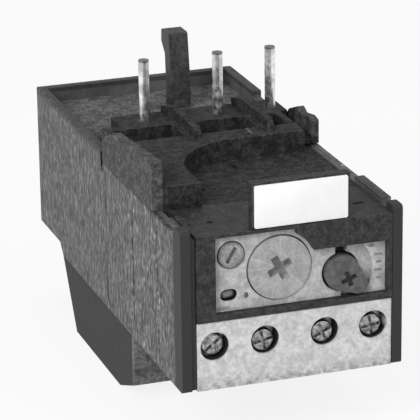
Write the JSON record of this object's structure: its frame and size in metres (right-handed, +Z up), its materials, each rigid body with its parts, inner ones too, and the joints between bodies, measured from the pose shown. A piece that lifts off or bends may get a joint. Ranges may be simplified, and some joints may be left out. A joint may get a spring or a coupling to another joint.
{
  "type": "thermal overload relay",
  "caption": "Box-shaped bimetal overload relay with setting dial, reset knob, test button, screw terminals in front, and round pins and a rear hook on top to plug into a contactor.",
  "frame": {"origin": "middle of the bounding box in plan, on the flat lower face of the main terminal housing", "axes": "+X to the right as seen from the front, +Y from the front with the dial to the back, +Z up towards the contactor"},
  "size_m": [0.045, 0.1, 0.0629],
  "materials": {
    "housing_side": "fine textured dark grey moulding",
    "housing_low": "fine textured dark grey moulding",
    "housing_front": "near black moulding",
    "housing_top": "near black moulding",
    "panel": "light grey moulding",
    "terminal_block": "pale grey moulding",
    "latch": "near black tough moulding",
    "label": "white, bare",
    "steel": "zinc plated",
    "screw": "zinc plated, worn bright",
    "dial": "mid grey moulding",
    "inner_pale": "pale moulding",
    "inner_dark": "dark moulding",
    "knob": "dark grey moulding",
    "button": "mid grey moulding",
    "spring": "spring steel",
    "bimetal": "rolled bimetal",
    "copper": "tinned copper alloy",
    "flag": "dark moulding",
    "tinned": "tinned round wire",
    "sleeve": "woven glass sleeve",
    "heater": "resistance ribbon"
  },
  "bodies": {
    "root": {"base_housing": "housing_side", "terminal_housing": "housing_low", "front_cover": "housing_front", "top_cover": "housing_top", "dial_panel": "panel", "aux_terminal_block": "terminal_block", "rear_hook": "latch", "label_carrier": "housing_front", "label_plate": "label", "load_clamps": "steel", "load_screws": "screw", "aux_clamps": "steel", "aux_screws": "screw", "adjuster_pin": "steel", "reset_spring": "spring", "test_spring": "spring", "mechanism_plate": "inner_pale", "trip_lever_pin": "steel", "bus_pin_1": "tinned", "load_terminal_1": "copper", "bus_pin_2": "tinned", "load_terminal_2": "copper", "bus_pin_3": "tinned", "load_terminal_3": "copper", "aux_terminal_1": "copper", "aux_terminal_2": "copper", "aux_terminal_3": "copper", "aux_terminal_4": "copper"},
    "dial": {"setting_dial": "dial", "setting_cam": "inner_pale"},
    "adjuster": {"adjusting_lever": "inner_pale"},
    "reset": {"reset_plunger": "knob"},
    "knob": {"mode_knob": "knob"},
    "test": {"test_button": "button"},
    "main_slider": {"trip_slider": "inner_pale"},
    "cold_slider": {"differential_slider": "inner_dark"},
    "summing_lever": {"differential_lever": "inner_dark"},
    "release": {"trip_lever": "inner_pale", "compensating_strip": "bimetal"},
    "carrier": {"contact_carrier": "inner_dark", "nc_bridge": "copper", "no_bridge": "copper", "trip_flag": "flag"},
    "bimetal_1": {"bimetal_strip_1": "bimetal", "insulating_sleeve_1": "sleeve", "heater_winding_1": "heater"},
    "bimetal_2": {"bimetal_strip_2": "bimetal", "insulating_sleeve_2": "sleeve", "heater_winding_2": "heater"},
    "bimetal_3": {"bimetal_strip_3": "bimetal", "insulating_sleeve_3": "sleeve", "heater_winding_3": "heater"}
  },
  "joints": [
    {"name": "dial_turn", "type": "hinge", "parent": "root", "child": "dial", "pos_m": [-0.0024, -0.0492, 0.0373], "axis": [0, -1, 0], "range_deg": [-120, 120]},
    {"name": "adjuster_tilt", "type": "hinge", "parent": "root", "child": "adjuster", "pos_m": [0.0034, -0.041, 0.0324], "axis": [0, -1, 0], "range_deg": [-9.5, 9.5]},
    {"name": "reset_push", "type": "slide", "parent": "root", "child": "reset", "axis": [0, 1, 0], "range_m": [0, 0.0012], "stiffness_N_per_m": 500, "springref_m": -0.002, "deforming": ["reset_spring"]},
    {"name": "mode_turn", "type": "hinge", "parent": "reset", "child": "knob", "pos_m": [0.01025, -0.0497, 0.0347], "axis": [0, -1, 0], "range_deg": [0, 80]},
    {"name": "test_push", "type": "slide", "parent": "root", "child": "test", "axis": [0, 1, 0], "range_m": [0, 0.0018], "stiffness_N_per_m": 400, "springref_m": -0.002, "deforming": ["test_spring"]},
    {"name": "trip_slide", "type": "slide", "parent": "root", "child": "main_slider", "axis": [1, 0, 0], "range_m": [0, 0.002], "stiffness_N_per_m": 300, "springref_m": -0.001},
    {"name": "differential_slide", "type": "slide", "parent": "root", "child": "cold_slider", "axis": [1, 0, 0], "range_m": [0, 0.002]},
    {"name": "summing_tilt", "type": "hinge", "parent": "main_slider", "child": "summing_lever", "pos_m": [0.014, -0.013, 0.0417], "axis": [0, 1, 0], "range_deg": [-6, 6]},
    {"name": "release_swing", "type": "hinge", "parent": "root", "child": "release", "pos_m": [-0.0085, -0.028, 0.0394], "axis": [0, 0, 1], "range_deg": [-9, 0]},
    {"name": "carrier_slide", "type": "slide", "parent": "root", "child": "carrier", "axis": [0, -1, 0], "range_m": [0, 0.0019]},
    {"name": "bimetal_bend_1", "type": "hinge", "parent": "root", "child": "bimetal_1", "pos_m": [-0.0142, -0.0045, 0.018], "axis": [0, 1, 0], "range_deg": [0, 5.2]},
    {"name": "bimetal_bend_2", "type": "hinge", "parent": "root", "child": "bimetal_2", "pos_m": [0, -0.0045, 0.018], "axis": [0, 1, 0], "range_deg": [0, 5.2]},
    {"name": "bimetal_bend_3", "type": "hinge", "parent": "root", "child": "bimetal_3", "pos_m": [0.0142, -0.0045, 0.018], "axis": [0, 1, 0], "range_deg": [0, 5.2]}
  ],
  "couplings": [
    {"joint": "adjuster_tilt", "follows": "dial_turn", "ratio": 0.078},
    {"joint": "differential_slide", "follows": "trip_slide", "ratio": 1},
    {"joint": "release_swing", "follows": "trip_slide", "rad_per_m": -73},
    {"joint": "carrier_slide", "follows": "trip_slide", "ratio": 0.95},
    {"joint": "bimetal_bend_1", "follows": "trip_slide", "rad_per_m": 43.5},
    {"joint": "bimetal_bend_2", "follows": "trip_slide", "rad_per_m": 43.5},
    {"joint": "bimetal_bend_3", "follows": "trip_slide", "rad_per_m": 43.5}
  ]
}
